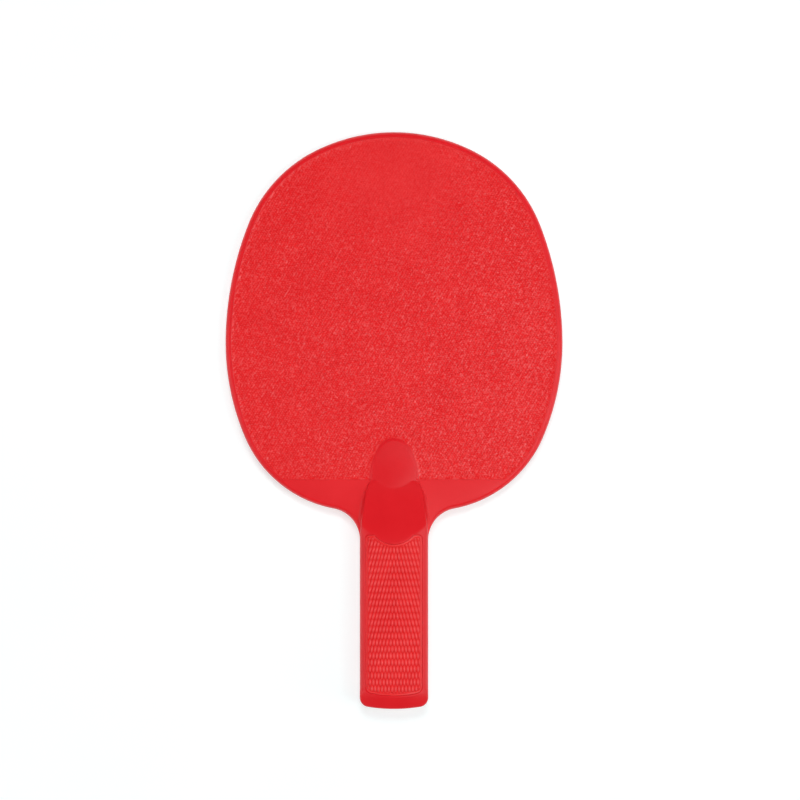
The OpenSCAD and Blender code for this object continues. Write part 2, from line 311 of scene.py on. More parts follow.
def distance(points, loop):
    """Distance from each point to the nearest edge of a closed loop."""
    nearest = np.empty(len(points))
    after = np.roll(loop, -1, axis=0)
    edge = after - loop
    length_sq = (edge**2).sum(axis=1)
    for k in range(0, len(points), CHUNK):
        gap = points[k : k + CHUNK, None] - loop
        t = np.clip((gap * edge).sum(axis=2) / length_sq, 0, 1)
        gap -= t[:, :, None] * edge
        nearest[k : k + CHUNK] = np.sqrt((gap**2).sum(axis=2).min(axis=1))
    return nearest


def lattice(loops, pitch, clearance, jitter=0.0, seed=0, y_range=None):
    """Points of a hexagonal lattice inside the loops and clear of their edges.

    Also gives if each is one of the third of the points that have none of their own kind beside them.
    """
    lo, hi = loops[0].min(axis=0), loops[0].max(axis=0)
    low_y, high_y = y_range or (lo[1], hi[1])
    row = pitch * math.sqrt(3) / 2
    xs = np.arange(lo[0], hi[0] + pitch, pitch)
    ys = np.arange(low_y, high_y, row)
    x, y = np.meshgrid(xs, ys)
    x[1::2] += pitch / 2
    across, up = np.meshgrid(np.arange(len(xs)), np.arange(len(ys)))
    third = (across - up // 2 - up).ravel() % 3 == 0
    points = np.column_stack([x.ravel(), y.ravel()])
    random = np.random.default_rng(seed)
    points += random.uniform(-jitter, jitter, points.shape) * pitch
    keep = inside(points, loops)
    points, third = points[keep], third[keep]
    for loop in loops:
        clear = distance(points, loop) > clearance
        points, third = points[clear], third[clear]
    return points, third


def triangulated(loops, inner=None):
    """All points of the loops, then the inner ones, and the triangles that fill the loops with them."""
    points = np.vstack(list(loops) + ([] if inner is None else [inner]))
    edges = []
    for loop in loops:
        start = edges[-1][0] + 1 if edges else 0
        ring = [(start + i, start + i + 1) for i in range(len(loop) - 1)]
        edges += ring + [(start + len(loop) - 1, start)]
    vectors = [Vector(p) for p in points.tolist()]
    _, _, triangles, source, _, _ = delaunay_2d_cdt(vectors, edges, [], 0, TINY)
    first = np.array([s[0] for s in source])
    triangles = first[np.array(triangles)]
    middle = points[triangles].mean(axis=1)
    return points, triangles[inside(middle, loops)]


# ---------------------------------------------------------------------------------------------------------
# Closed shells
# ---------------------------------------------------------------------------------------------------------
class Shell:
    """Gathers the points and faces of one closed piece."""

    def __init__(self):
        self.points = []
        self.relief = []
        self.faces = []
        self.count = 0

    def add(self, xy, z, relief=0.5):
        """Adds points at their heights, and how raised they are from 0 to 1, and gives their numbers."""
        xyz = np.column_stack([xy, np.broadcast_to(z, len(xy))])
        self.points.append(xyz)
        self.relief.append(np.broadcast_to(relief, len(xy)))
        self.count += len(xyz)
        return np.arange(self.count - len(xyz), self.count)

    def wall(self, low, high):
        """Quads between two rings of the same length."""
        quads = np.column_stack([low, np.roll(low, -1), np.roll(high, -1), high])
        self.faces += quads.tolist()

    def cap(self, *rings):
        """Fills a flat face between an outer ring and any holes in it."""
        points = np.vstack(self.points)
        _, triangles = triangulated([points[ring][:, :2] for ring in rings])
        self.faces += np.concatenate(rings)[triangles].tolist()

    def tube(self, xy, z0, z1):
        """A vertical wall on a loop. Gives its lower and its upper ring."""
        low, high = self.add(xy, z0), self.add(xy, z1)
        self.wall(low, high)
        return low, high

    def blind_hole(self, xy, z0, z1):
        """A wall from z0 with a flat end at z1. Gives the open ring."""
        low, high = self.tube(xy, z0, z1)
        self.cap(high)
        return low

    def made(self, name, material, sharp=40, rear=False):
        """The finished mesh object, in metres in the shared frame."""
        points = np.vstack(self.points)
        if rear:
            points = points * [1, 1, -1]
        points = (points + [0, 0, HALF_T]) * MM
        mesh = bpy.data.meshes.new(name)
        mesh.from_pydata(points.tolist(), [], self.faces)
        mesh.materials.append(material)
        relief = mesh.attributes.new("relief", "FLOAT", "POINT")
        relief.data.foreach_set("value", np.concatenate(self.relief))
        shape = bmesh.new()
        shape.from_mesh(mesh)
        bmesh.ops.remove_doubles(shape, verts=shape.verts, dist=WELD_M)
        bmesh.ops.recalc_face_normals(shape, faces=shape.faces)
        shape.to_mesh(mesh)
        shape.free()
        mesh.shade_smooth()
        mesh.set_sharp_from_angle(angle=math.radians(sharp))
        piece = bpy.data.objects.new(name, mesh)
        bpy.context.scene.collection.objects.link(piece)
        return piece


# ---------------------------------------------------------------------------------------------------------
# Outlines
# ---------------------------------------------------------------------------------------------------------
def heading_normal(heading):
    """Outward direction of the outline where it has turned that many degrees since the tip."""
    a = math.radians(heading)
    return np.array([math.sin(a), math.cos(a)])


def blade_arcs():
    """(centre, radius, heading at its start, heading at its end) of each arc from the tip to the neck."""
    found = []
    heading = 0.0
    radius = OUTLINE_ARCS[0][0]
    centre = np.array([0.0, TIP_Y - radius])
    for r, turn in OUTLINE_ARCS:
        centre = centre + (radius - r) * heading_normal(heading)
        found.append((centre, r, heading, heading + turn))
        radius = r
        heading += turn
    return found


def blade_right(inset, edge_y=None, step=0.8):
    """The blade's right half from the tip down, moved in by inset, and cut at edge_y if that is given."""
    pieces = []
    for centre, radius, start, end in blade_arcs():
        r = radius - inset
        if edge_y is not None and end > 150:
            end = math.degrees(math.acos((edge_y - centre[1]) / r))
        pieces.append(arc(centre, r, 90 - start, 90 - end, step))
    return np.vstack(pieces)


def playing_area(inset, edge_y):
    """The playing surface's loop, anticlockwise, with its straight lower edge."""
    right = blade_right(inset, edge_y)[::-1]
    edge = line(right[0] * [-1, 1], right[0], SKIN_STEP)
    return joined(edge, right, flipped(right))


def bowed_end(half_w, end_y, end_r, corner_r):
    """The bowed end of the handle or of a panel, from its left side round to its right side."""
    bow = np.array([0.0, end_y + end_r])
    corner_x = half_w - corner_r
    turn = math.degrees(math.asin(corner_x / (end_r - corner_r)))
    a = math.radians(turn)
    corner = bow + (end_r - corner_r) * np.array([math.sin(a), -math.cos(a)])
    left = arc(corner * [-1, 1], corner_r, 180, 270 - turn, 0.4)
    right = arc(corner, corner_r, 270 + turn, 360, 0.4)
    return np.vstack([left, arc(bow, end_r, 270 - turn, 270 + turn), right])


def plate_outline():
    """The plate's anticlockwise loop with its tang, and how rounded its edge is there, from 0 to 1."""
    centre, radius, _, last = blade_arcs()[-1]
    cheek_end = centre + radius * heading_normal(last)
    neck_r = (cheek_end[0] - HALF_W) / (1 - heading_normal(last)[0])
    neck_c = cheek_end + neck_r * heading_normal(last)
    neck = arc(neck_c, neck_r, 270 - last, 270 - last + NECK_TURN, 0.5)[::-1]
    butt = bowed_end(HALF_W, BUTT_Y, BUTT_R, BUTT_CORNER_R)
    right = np.vstack([line(butt[-1], neck[0], 1.0), neck, blade_right(0)[::-1]])
    loop = joined(butt, right, flipped(right))
    fade = np.clip((loop[:, 1] - neck_c[1]) / (0.75 * neck_r), 0, 1)
    return loop, fade * fade * (3 - 2 * fade)


def tongue_edge(grow=0.0):
    """The tongue's edge above the skin's lower edge, from its right foot over its tip to its left foot."""
    side_r = (TONGUE_L**2 + TONGUE_W**2 - 2 * TONGUE_L * TONGUE_TIP_R) / (2 * (TONGUE_W - TONGUE_TIP_R))
    side_c = np.array([TONGUE_W - side_r, SKIN_EDGE_Y])
    tip_c = np.array([0.0, SKIN_EDGE_Y + TONGUE_L - TONGUE_TIP_R])
    meet = math.degrees(math.atan2(tip_c[1] - side_c[1], -side_c[0]))
    side = arc(side_c, side_r + grow, 0, meet, 0.4)
    tip = arc(tip_c, TONGUE_TIP_R + grow, meet, 180 - meet, 0.4)
    return np.vstack([side, tip, flipped(side)])


def scale_outline():
    """A handle half's loop, anticlockwise: bowed butt, sides, neck block and tongue."""
    corner = np.array([NECK_TOP_W, SKIN_EDGE_Y - NECK_CORNER_R])
    drawn_in = np.array([HALF_W, NECK_START_Y]) - corner
    lean = math.degrees(math.atan2(drawn_in[1], drawn_in[0]))
    touch = lean + math.degrees(math.acos(NECK_CORNER_R / np.hypot(*drawn_in)))
    foot = math.degrees(math.acos((TONGUE_W - corner[0]) / NECK_CORNER_R))
    shoulder = arc(corner, NECK_CORNER_R, touch, foot, 0.3)
    butt = bowed_end(HALF_W, BUTT_Y, BUTT_R, BUTT_CORNER_R)
    right = np.vstack([
        line(butt[-1], [HALF_W, NECK_START_Y]),
        line([HALF_W, NECK_START_Y], shoulder[0]),
        shoulder,
        line(shoulder[-1], [TONGUE_W, SKIN_EDGE_Y], 0.3),
    ])
    return joined(butt, right, tongue_edge(), flipped(right))


def recess_loop(inset=0.0):
    """The recess's loop, anticlockwise, with the collar that bulges down into it."""
    top_corner = np.array([RECESS_W - RECESS_TOP_R, RECESS_TOP_Y - RECESS_TOP_R])
    collar_y = RAMP_TOP_Y + COLLAR_R
    rim_r = COLLAR_R + inset
    dip = math.degrees(math.asin((RECESS_TOP_Y - inset - collar_y) / rim_r))
    end = bowed_end(RECESS_W - inset, RECESS_END_Y + inset, RECESS_END_R - inset, RECESS_CORNER_R - inset)
    corner = arc(top_corner, RECESS_TOP_R - inset, 0, 90, 0.2)
    side = line(end[-1], corner[0], 0.5)
    collar = arc([0, collar_y], rim_r, dip, -180 - dip, 0.35)
    top = line(corner[-1], collar[0], 0.35)
    return joined(end, side, corner, top, collar, flipped(top), flipped(corner), flipped(side))


def hollow_loop():
    """The loop of the hollow inside a handle half."""
    end = bowed_end(HOLLOW_W, HOLLOW_END_Y, RECESS_END_R, RECESS_CORNER_R)
    return joined(end, [[HOLLOW_W, HOLLOW_TOP_Y], [-HOLLOW_W, HOLLOW_TOP_Y]])


# ---------------------------------------------------------------------------------------------------------
# Heights
# ---------------------------------------------------------------------------------------------------------
def smooth_min(a, b, blend):
    """The lower of two heights, with the crease between them rounded over about blend millimetres."""
    h = np.clip(0.5 + 0.5 * (b - a) / blend, 0, 1)
    return b + (a - b) * h - blend * h * (1 - h)


def smooth_max(a, b, blend):
    """The higher of two heights, with the crease between them rounded."""
    return -smooth_min(-a, -b, blend)


def smooth_step(a, b, x):
    """0 before a, 1 after b, and a smooth rise between them."""
    t = np.clip((x - a) / (b - a), 0, 1)
    return t * t * (3 - 2 * t)


def roll_off(d, radius):
    """How far an edge rounded to that radius has dropped at distance d from the edge."""
    left = np.clip(1 - d / radius, 0, 1)
    return radius * (1 - np.sqrt(1 - left * left))


def crown_height(x):
    """The crown across the handle."""
    return HALF_T - CROWN_R + np.sqrt(CROWN_R**2 - x**2)


def ramp_height(y):
    """The neck ramp: a hollow arc, then an equal bulging arc, with straight ends."""
    foot_z = FACE_Z + TONGUE_H
    run, rise = RAMP_FOOT_Y - RAMP_TOP_Y, HALF_T - foot_z
    middle_slope = 2 * math.atan(rise / run) - RAMP_END_SLOPE
    radius = run / 2 / (math.sin(middle_slope) - math.sin(RAMP_END_SLOPE))
    reach, lift = radius * math.sin(RAMP_END_SLOPE), radius * math.cos(RAMP_END_SLOPE)
    low = foot_z + lift - np.sqrt(radius**2 - np.clip(y - RAMP_FOOT_Y - reach, -radius, radius) ** 2)
    high = HALF_T - lift + np.sqrt(radius**2 - np.clip(y - RAMP_TOP_Y + reach, -radius, radius) ** 2)
    slope = math.tan(RAMP_END_SLOPE)
    middle_y = (RAMP_FOOT_Y + RAMP_TOP_Y) / 2
    height = np.where(y > middle_y, low, high)
    height = np.where(y > RAMP_FOOT_Y, foot_z - (y - RAMP_FOOT_Y) * slope, height)
    return np.where(y < RAMP_TOP_Y, HALF_T + (RAMP_TOP_Y - y) * slope, height)


def tongue_height(x, y):
    """The crowned tongue, which falls and flattens towards the tip of the blade."""
    crown = TONGUE_CROWN_R - np.sqrt(TONGUE_CROWN_R**2 - x**2)
    fade = TONGUE_FLAT_SHARE + (1 - TONGUE_FLAT_SHARE) * smooth_step(TONGUE_FLAT_Y, RAMP_FOOT_Y, y)
    return FACE_Z + (TONGUE_H - crown) * fade


def scale_height(points, outline, recess):
    """Height of a handle half's outer surface at each point: crown, butt, ramp, neck block and tongue."""
    x, y = points.T
    past_bevel = smooth_max(BUTT_Y + BUTT_BEVEL_L - y, 0, BEVEL_BLEND)
    handle = crown_height(x) - past_bevel * math.tan(BUTT_SLOPE)
    handle = smooth_min(handle, ramp_height(y), CREASE_BLEND)

    # The neck block's sides fall away beside the tongue's foot
    corner_y = SKIN_EDGE_Y - NECK_CORNER_R
    past_side = np.maximum(np.abs(x) - NECK_TOP_W, 0)
    past_block = np.hypot(past_side, np.maximum(y - corner_y, 0)) - NECK_CORNER_R
    step = roll_off(-past_block, BLOCK_EDGE_R) + BLOCK_SLOPE * np.maximum(past_block, 0)
    handle = handle - step * smooth_step(corner_y + BLOCK_STARTS[0], corner_y + BLOCK_STARTS[1], y)

    from_edge = distance(points, outline)
    on_tongue = y > SKIN_EDGE_Y
    feather = np.where(on_tongue, smooth_step(0, TONGUE_FEATHER, from_edge), 1)
    tongue = FACE_Z + (tongue_height(x, y) - FACE_Z) * feather
    top = smooth_max(handle, tongue, TONGUE_BLEND)

    # The edge is most rounded along the handle's sides
    edge_r = NECK_ROLL_R + (SIDE_ROLL_R - NECK_ROLL_R) * smooth_step(*ROLL_GROWS_Y, y)
    butt_r = SIDE_ROLL_R - (SIDE_ROLL_R - BUTT_ROLL_R) * smooth_step(*ROLL_SHRINKS_Y, y)
    edge_r = np.minimum(edge_r, butt_r) * np.where(on_tongue, TONGUE_ROLL_R, 1)
    return top - roll_off(from_edge, edge_r) - roll_off(distance(points, recess), LIP_R)


def grip_height(points, loop):
    """Height and relief of the grip insert: rows of slanting almond bumps under the crown."""
    x, y = points.T
    row_0 = np.floor((y - RECESS_END_Y) / GRIP_PITCH_Y)
    lean = -GRIP_LEAN * np.tanh(x / GRIP_LEAN_X) * smooth_step(*GRIP_LEAN_GROWS_Y, y)
    best = np.zeros(len(points))
    for row in (row_0 - 1, row_0, row_0 + 1, row_0 + 2):
        dy = y - RECESS_END_Y - row * GRIP_PITCH_Y
        across = x - lean * dy - (row % 2) * GRIP_PITCH_X / 2
        dx = across - np.round(across / GRIP_PITCH_X) * GRIP_PITCH_X
        long = np.clip(1 - (dy / GRIP_BUMP_HALF_L) ** 2, 0, 1)
        wide = np.clip(1 - (dx / (GRIP_BUMP_HALF_W * np.sqrt(long) + TINY)) ** 2, 0, 1)
        best = np.maximum(best, long**GRIP_BUMP_POWER * wide**GRIP_BUMP_POWER)
    from_edge = distance(points, loop)
    field = smooth_step(GRIP_LEDGE_W + GRIP_FIELD_FROM, GRIP_LEDGE_W + GRIP_FIELD_TO, from_edge)
    ledge = 1 - smooth_step(GRIP_LEDGE_W, GRIP_LEDGE_W + GRIP_LEDGE_RISE_W, from_edge)
    sunk = GRIP_DEPTH * (1 - best * field) * (1 - ledge) + GRIP_LEDGE_DROP * ledge
    return crown_height(x) - GRIP_TOP_DROP - sunk, best * field + GRIP_LEDGE_RELIEF * ledge


# ---------------------------------------------------------------------------------------------------------
# Pieces
# ---------------------------------------------------------------------------------------------------------
def blade_plate(material):
    """The stiff core: rounded rim, a pocket in each face, neck webs, and the tang with its holes."""
    shell = Shell()
    loop, rounded = plate_outline()
    out = normals_of(loop)
    width = SEAM + (RIM_W - SEAM) * rounded
    height = SEAM + (RIM_H - SEAM) * rounded
    rings = []
    for t in np.radians(np.linspace(0, 90, RIM_STEPS + 1)):
        xy = loop - out * (width * (1 - math.cos(t)))[:, None]
        rings.append((xy, FACE_Z - height * (1 - math.sin(t))))
    low = [shell.add(xy, -z) for xy, z in rings[::-1]]
    high = [shell.add(xy, z) for xy, z in rings]
    stack = low + high
    for a, b in zip(stack, stack[1:]):
        shell.wall(a, b)
    holes = [shell.tube(circle(0, y, SCREW_HOLE_D), -FACE_Z, FACE_Z) for y in SCREW_YS]
    holes += [shell.tube(circle(0, y, DOWEL_HOLE_D), -FACE_Z, FACE_Z) for y in DOWEL_YS]
    pocket = playing_area(POCKET_INSET, SKIN_EDGE_Y)
    for side, edge in ((0, stack[0]), (1, stack[-1])):
        z = FACE_Z if side else -FACE_Z
        mouth = shell.add(pocket, z)
        bed = shell.add(pocket, SKIN_BED_Z if side else -SKIN_BED_Z)
        shell.wall(bed, mouth)
        shell.cap(bed)
        shell.cap(edge, mouth, *[hole[side] for hole in holes])
    return shell.made("blade_core", material)


@functools.cache
def skin_surface():
    """A playing skin's loop, and the points, heights, relief and triangles of its pebbles."""
    edge_y = SKIN_EDGE_Y + SKIN_GAP
    area = blade_right(POCKET_INSET + SKIN_GAP, edge_y)[::-1]
    notch = tongue_edge(SKIN_GAP)
    notch = notch[notch[:, 1] > edge_y]
    foot = np.array([notch[0][0], edge_y])
    right_edge = line(foot, area[0], SKIN_STEP)
    loop = joined(right_edge, area, flipped(area), flipped(right_edge), notch[::-1])

    # The lattice is laid out in the grain's own stretched frame
    along = np.array([math.cos(GRAIN_HEADING), math.sin(GRAIN_HEADING)])
    across = np.array([-along[1], along[0]])
    to_grain = np.column_stack([along / GRAIN_STRETCH, across * GRAIN_SQUEEZE])
    pitch = PEBBLE_PITCH / math.sqrt(3)
    sites, is_top = lattice([loop @ to_grain], pitch, PEBBLE_CLEAR, PEBBLE_JITTER, seed=11)
    sites = sites @ np.linalg.inv(to_grain)
    points, triangles = triangulated([loop], sites)

    random = np.random.default_rng(12)
    is_link = random.random(len(sites)) < LINK_SHARE
    spans = (LINK_DROP, CREASE_DROP, TOP_DROP)
    link, crease, top = [random.uniform(*span, len(sites)) for span in spans]
    drop = np.where(is_top, top, np.where(is_link, link, crease))
    from_spot = np.hypot(sites[:, 0] - SOFT_SPOT[0], sites[:, 1] - SOFT_SPOT[1])
    contrast = SOFT_SHARE + (1 - SOFT_SHARE) * smooth_step(SOFT_FROM, SOFT_TO, from_spot)
    drop = MEAN_DROP + (drop - MEAN_DROP) * contrast
    rise = smooth_step(0, PEBBLE_EDGE_W, distance(sites, loop))
    depth = PEBBLE_DEPTH * (PEBBLE_EDGE_SHARE + (1 - PEBBLE_EDGE_SHARE) * rise)
    heights = np.concatenate([np.full(len(loop), FACE_Z - CLEARANCE), FACE_Z - depth * drop])
    relief = np.concatenate([np.full(len(loop), EDGE_RELIEF), 1 - drop])
    return loop, points, heights, relief, triangles


def face_skin(material, rear):
    """A playing skin: irregular pebbles, joined here and there, with creases between them."""
    loop, points, heights, relief, triangles = skin_surface()
    shell = Shell()
    top = shell.add(points, heights, relief)
    shell.faces += top[triangles].tolist()
    ring = top[: len(loop)]
    bed = shell.add(loop, SKIN_BED_Z)
    shell.wall(bed, ring)
    shell.cap(bed)
    return shell.made("rear_skin" if rear else "front_skin", material, sharp=80, rear=rear)


@functools.cache
def scale_surface():
    """A handle half's outline, its recess, and the points, heights and triangles of its outer surface."""
    outline, recess = scale_outline(), recess_loop()
    out = normals_of(outline)
    roll = [outline - out * d for d in SIDE_ROLL_R * (1 - np.cos(np.radians(ROLL_TURNS)))]
    recess_out = normals_of(recess)
    lip = [recess + recess_out * d for d in LIP_R * np.array(LIP_STEPS)]
    wide, _ = lattice([outline, recess], WIDE_STEP, EDGE_CLEAR)
    on_neck = np.abs(wide[:, 1] - SKIN_EDGE_Y) < FINE_BAND
    fine_range = (SKIN_EDGE_Y - FINE_BAND, SKIN_EDGE_Y + FINE_BAND)
    fine, _ = lattice([outline, recess], FINE_STEP, EDGE_CLEAR, y_range=fine_range)
    rings = np.vstack(roll + lip)
    rings = rings[inside(rings, [outline, recess])]
    inner = np.vstack([rings, wide[~on_neck], fine])
    points, triangles = triangulated([outline, recess], inner)
    return outline, recess, points, scale_height(points, outline, recess), triangles


def handle_scale(material, rear):
    """A handle half: crowned, with neck ramp, tongue, bevelled butt, recess, hollow and bosses."""
    outline, recess, points, heights, triangles = scale_surface()
    out = normals_of(outline)
    shell = Shell()
    top = shell.add(points, heights)
    shell.faces += top[triangles].tolist()
    edge = top[: len(outline)]
    mouth = top[len(outline) : len(outline) + len(recess)]

    # Beside the neck block a small fillet flares out onto the plate, and elsewhere there is a fine seam
    y = outline[:, 1]
    on_tongue = y > SKIN_EDGE_Y - TINY
    on_wing = smooth_step(*WING_STARTS_Y, y) * smooth_step(SKIN_EDGE_Y - 0.2, WING_END_Y, y)
    seam_z = np.where(on_tongue, FACE_Z, FACE_Z + SEAM * (1 - on_wing))
    room = heights[: len(outline)] - seam_z
    fillet_r = np.minimum(FOOT_FILLET_R * on_wing, FOOT_FILLET_SHARE * room)
    flare = []
    for inward in FLARE_STEPS:
        flare_xy = outline + out * (fillet_r * (1 - inward))[:, None]
        flare_z = seam_z + CLEARANCE * on_wing + FLARE_RISE * fillet_r * inward**FLARE_POWER
        flare.append(shell.add(flare_xy, flare_z))
    inset = np.where(y < NECK_START_Y, SEAM, BLOCK_INSET)[:, None]
    lower_xy = outline - out * inset + out * fillet_r[:, None]
    lower_z = np.where(on_tongue, SKIN_BED_Z + CLEARANCE, FACE_Z)
    lower = shell.add(lower_xy, lower_z)
    for low, high in zip([lower] + flare, flare + [edge]):
        shell.wall(low, high)

    hollow = hollow_loop()
    hollow_low, hollow_high = shell.tube(hollow, FACE_Z, HOLLOW_ROOF_Z)
    bosses = []
    floor_holes = []
    for hole_y in SCREW_YS + DOWEL_YS:
        low, high = shell.tube(circle(0, hole_y, BOSS_D), FACE_Z, HOLLOW_ROOF_Z)
        bosses.append(high)
        is_screw = hole_y in SCREW_YS
        hole = circle(0, hole_y, SCREW_HOLE_D if is_screw else DOWEL_HOLE_D)
        if is_screw and rear:
            bottom, seat = shell.tube(hole, FACE_Z, HOLLOW_ROOF_Z)
            counterbore = shell.tube(circle(0, hole_y, SCREW_SEAT_D), HOLLOW_ROOF_Z, FLOOR_Z)
            shell.cap(counterbore[0], seat)
            floor_holes.append(counterbore[1])
        else:
            length = SCREW_HOLE_L if is_screw else DOWEL_HOLE_L
            bottom = shell.blind_hole(hole, FACE_Z, FACE_Z + length)
        shell.cap(low, bottom)
    roof_pegs = []
    for peg_x in (-PEG_X, PEG_X):
        low, high = shell.tube(circle(peg_x, PEG_Y, PEG_HOLE_D), HOLLOW_ROOF_Z, FLOOR_Z)
        roof_pegs.append(low)
        floor_holes.append(high)
    shell.cap(hollow_high, *bosses, *roof_pegs)
    shell.cap(lower, hollow_low)

    floor = shell.add(recess, FLOOR_Z)
    shell.wall(floor, mouth)
    shell.cap(floor, *floor_holes)
    return shell.made("rear_handle" if rear else "front_handle", material, sharp=50, rear=rear)


@functools.cache
def grip_surface():
    """A grip insert's outline, and the points, heights, relief and triangles of its patterned surface."""
    loop = recess_loop(GROOVE_W)
    cell = GRIP_PITCH_X / GRIP_CELLS_X
    xs = np.arange(-RECESS_W, RECESS_W, cell)
    ys = np.arange(RECESS_END_Y, RECESS_TOP_Y, GRIP_PITCH_Y / GRIP_CELLS_Y)
    x, y = np.meshgrid(xs, ys)
    x[1::2] += cell / 2
    grid = np.column_stack([x.ravel(), y.ravel()])
    grid = grid[inside(grid, [loop])]
    grid = grid[distance(grid, loop) > GRIP_EDGE_CLEAR]
    points, triangles = triangulated([loop], grid)
    heights, relief = grip_height(points, loop)
    return loop, points, heights, relief, triangles


def grip_insert(material, rear):
    """A grip panel that fills its recess but for the groove, with two pegs under it."""
    loop, points, heights, relief, triangles = grip_surface()
    shell = Shell()
    top = shell.add(points, heights, relief)
    shell.faces += top[triangles].tolist()
    floor_z = FLOOR_Z + CLEARANCE
    floor = shell.add(loop, floor_z)
    shell.wall(floor, top[: len(loop)])
    pegs = []
    for peg_x in (-PEG_X, PEG_X):
        pegs.append(shell.blind_hole(circle(peg_x, PEG_Y, PEG_D), floor_z, FLOOR_Z - PEG_L))
    shell.cap(floor, *pegs)
    return shell.made("rear_grip" if rear else "front_grip", material, sharp=60, rear=rear)


# ---------------------------------------------------------------------------------------------------------
# Materials
# ---------------------------------------------------------------------------------------------------------
# Noise mostly lies between these values
NOISE_LOW = 0.3
NOISE_HIGH = 0.7

# The Mix node's sockets for colours, which share their names with its sockets for numbers
MIX_A = 6
MIX_B = 7
MIX_RESULT = 2


class Nodes:
    """Short names for the steps that build one material's node tree, in object coordinates."""

    def __init__(self, name, roughness, specular=0.5):
        self.material = bpy.data.materials.new(name)
        self.material.use_nodes = True
        self.tree = self.material.node_tree
        self.shader = self.tree.nodes["Principled BSDF"]
        self.shader.inputs["Specular IOR Level"].default_value = specular
        self.shader.inputs["Roughness"].default_value = roughness
        self.place = self.tree.nodes.new("ShaderNodeTexCoord").outputs["Object"]

    def noise(self, scale, detail=3.0, rough=0.55):
        """Noise with about scale features in a metre."""
        node = self.tree.nodes.new("ShaderNodeTexNoise")
        node.inputs["Scale"].default_value = scale
        node.inputs["Detail"].default_value = detail
        node.inputs["Roughness"].default_value = rough
        self.tree.links.new(self.place, node.inputs["Vector"])
        return node.outputs["Fac"]

    def ranged(self, value, low, high):
        """Maps noise from the range where it mostly lies to low..high."""
        node = self.tree.nodes.new("ShaderNodeMapRange")
        node.inputs["From Min"].default_value = NOISE_LOW
        node.inputs["From Max"].default_value = NOISE_HIGH
        node.inputs["To Min"].default_value = low
        node.inputs["To Max"].default_value = high
        self.tree.links.new(value, node.inputs["Value"])
        return node.outputs["Result"]

    def ramp(self, value, colour_a, colour_b):
        """A colour between two, chosen by noise."""
        node = self.tree.nodes.new("ShaderNodeValToRGB")
        node.color_ramp.elements[0].position = NOISE_LOW
        node.color_ramp.elements[1].position = NOISE_HIGH
        node.color_ramp.elements[0].color = (*colour_a, 1)
        node.color_ramp.elements[1].color = (*colour_b, 1)
        self.tree.links.new(value, node.inputs["Fac"])
        return node.outputs["Color"]

    def bump(self, height, distance_mm, after=None):
        """A bump of that many millimetres, on top of an earlier one if given."""
        node = self.tree.nodes.new("ShaderNodeBump")
        node.inputs["Distance"].default_value = distance_mm * MM
        self.tree.links.new(height, node.inputs["Height"])
        if after is not None:
            self.tree.links.new(after, node.inputs["Normal"])
        return node.outputs["Normal"]

    def raised(self, low, high):
        """0 where the piece's relief is low or less, and 1 where it is high or more."""
        node = self.tree.nodes.new("ShaderNodeMapRange")
        node.inputs["From Min"].default_value = low
        node.inputs["From Max"].default_value = high
        relief = self.tree.nodes.new("ShaderNodeAttribute")
        relief.attribute_name = "relief"
        self.tree.links.new(relief.outputs["Fac"], node.inputs["Value"])
        return node.outputs["Result"]

    def between(self, value, low, high):
        """Maps a value from 0..1 to low..high."""
        node = self.tree.nodes.new("ShaderNodeMapRange")
        node.inputs["To Min"].default_value = low
        node.inputs["To Max"].default_value = high
        self.tree.links.new(value, node.inputs["Value"])
        return node.outputs["Result"]

    def scaled(self, colour, by):
        """A colour times another."""
        node = self.tree.nodes.new("ShaderNodeMix")
        node.data_type = "RGBA"
        node.blend_type = "MULTIPLY"
        node.inputs["Factor"].default_value = 1.0
        self.tree.links.new(colour, node.inputs[MIX_A])
        node.inputs[MIX_B].default_value = (*by, 1)
        node.clamp_result = False
        return node.outputs[MIX_RESULT]

    def mixed(self, value, colour_a, colour_b):
        """A colour between two others, chosen by a value."""
        node = self.tree.nodes.new("ShaderNodeMix")
        node.data_type = "RGBA"
        self.tree.links.new(value, node.inputs["Factor"])
        self.tree.links.new(colour_a, node.inputs[MIX_A])
        self.tree.links.new(colour_b, node.inputs[MIX_B])
        return node.outputs[MIX_RESULT]

    def use(self, socket, value):
        """Links a value to one of the shader's sockets."""
        self.tree.links.new(value, self.shader.inputs[socket])


# Pigment, and the painted shade in the pits and painted highlights on the tops of a relief that multiply it
RED_DEEP = (0.775, 0.007, 0.0125)
RED_LIGHT = (0.815, 0.010, 0.0165)
PAINTED_PIT_SHADE = (0.97, 1.35, 0.95)
PAINTED_TOP_HIGHLIGHT = (1.12, 5.0, 3.1)
SPECULAR_IN_PITS = 0.2
SPECULAR_ON_TOPS = 0.9

# Features in a metre of the pigment's clouds, the gloss and the slight waves of the plastic
CLOUD_SCALE = 60
GLOSS_SCALE = 350
WAVE_SCALE = 180
WAVE_MM = 0.02

# Zinc plating, with features in a metre
STEEL_DARK = (0.46, 0.46, 0.48)
STEEL_LIGHT = (0.66, 0.67, 0.69)
STEEL_CLOUD_SCALE = 900
STEEL_GLOSS_SCALE = 500
STEEL_ROUGHNESS = (0.26, 0.46)
SCRATCH_MM = 0.01


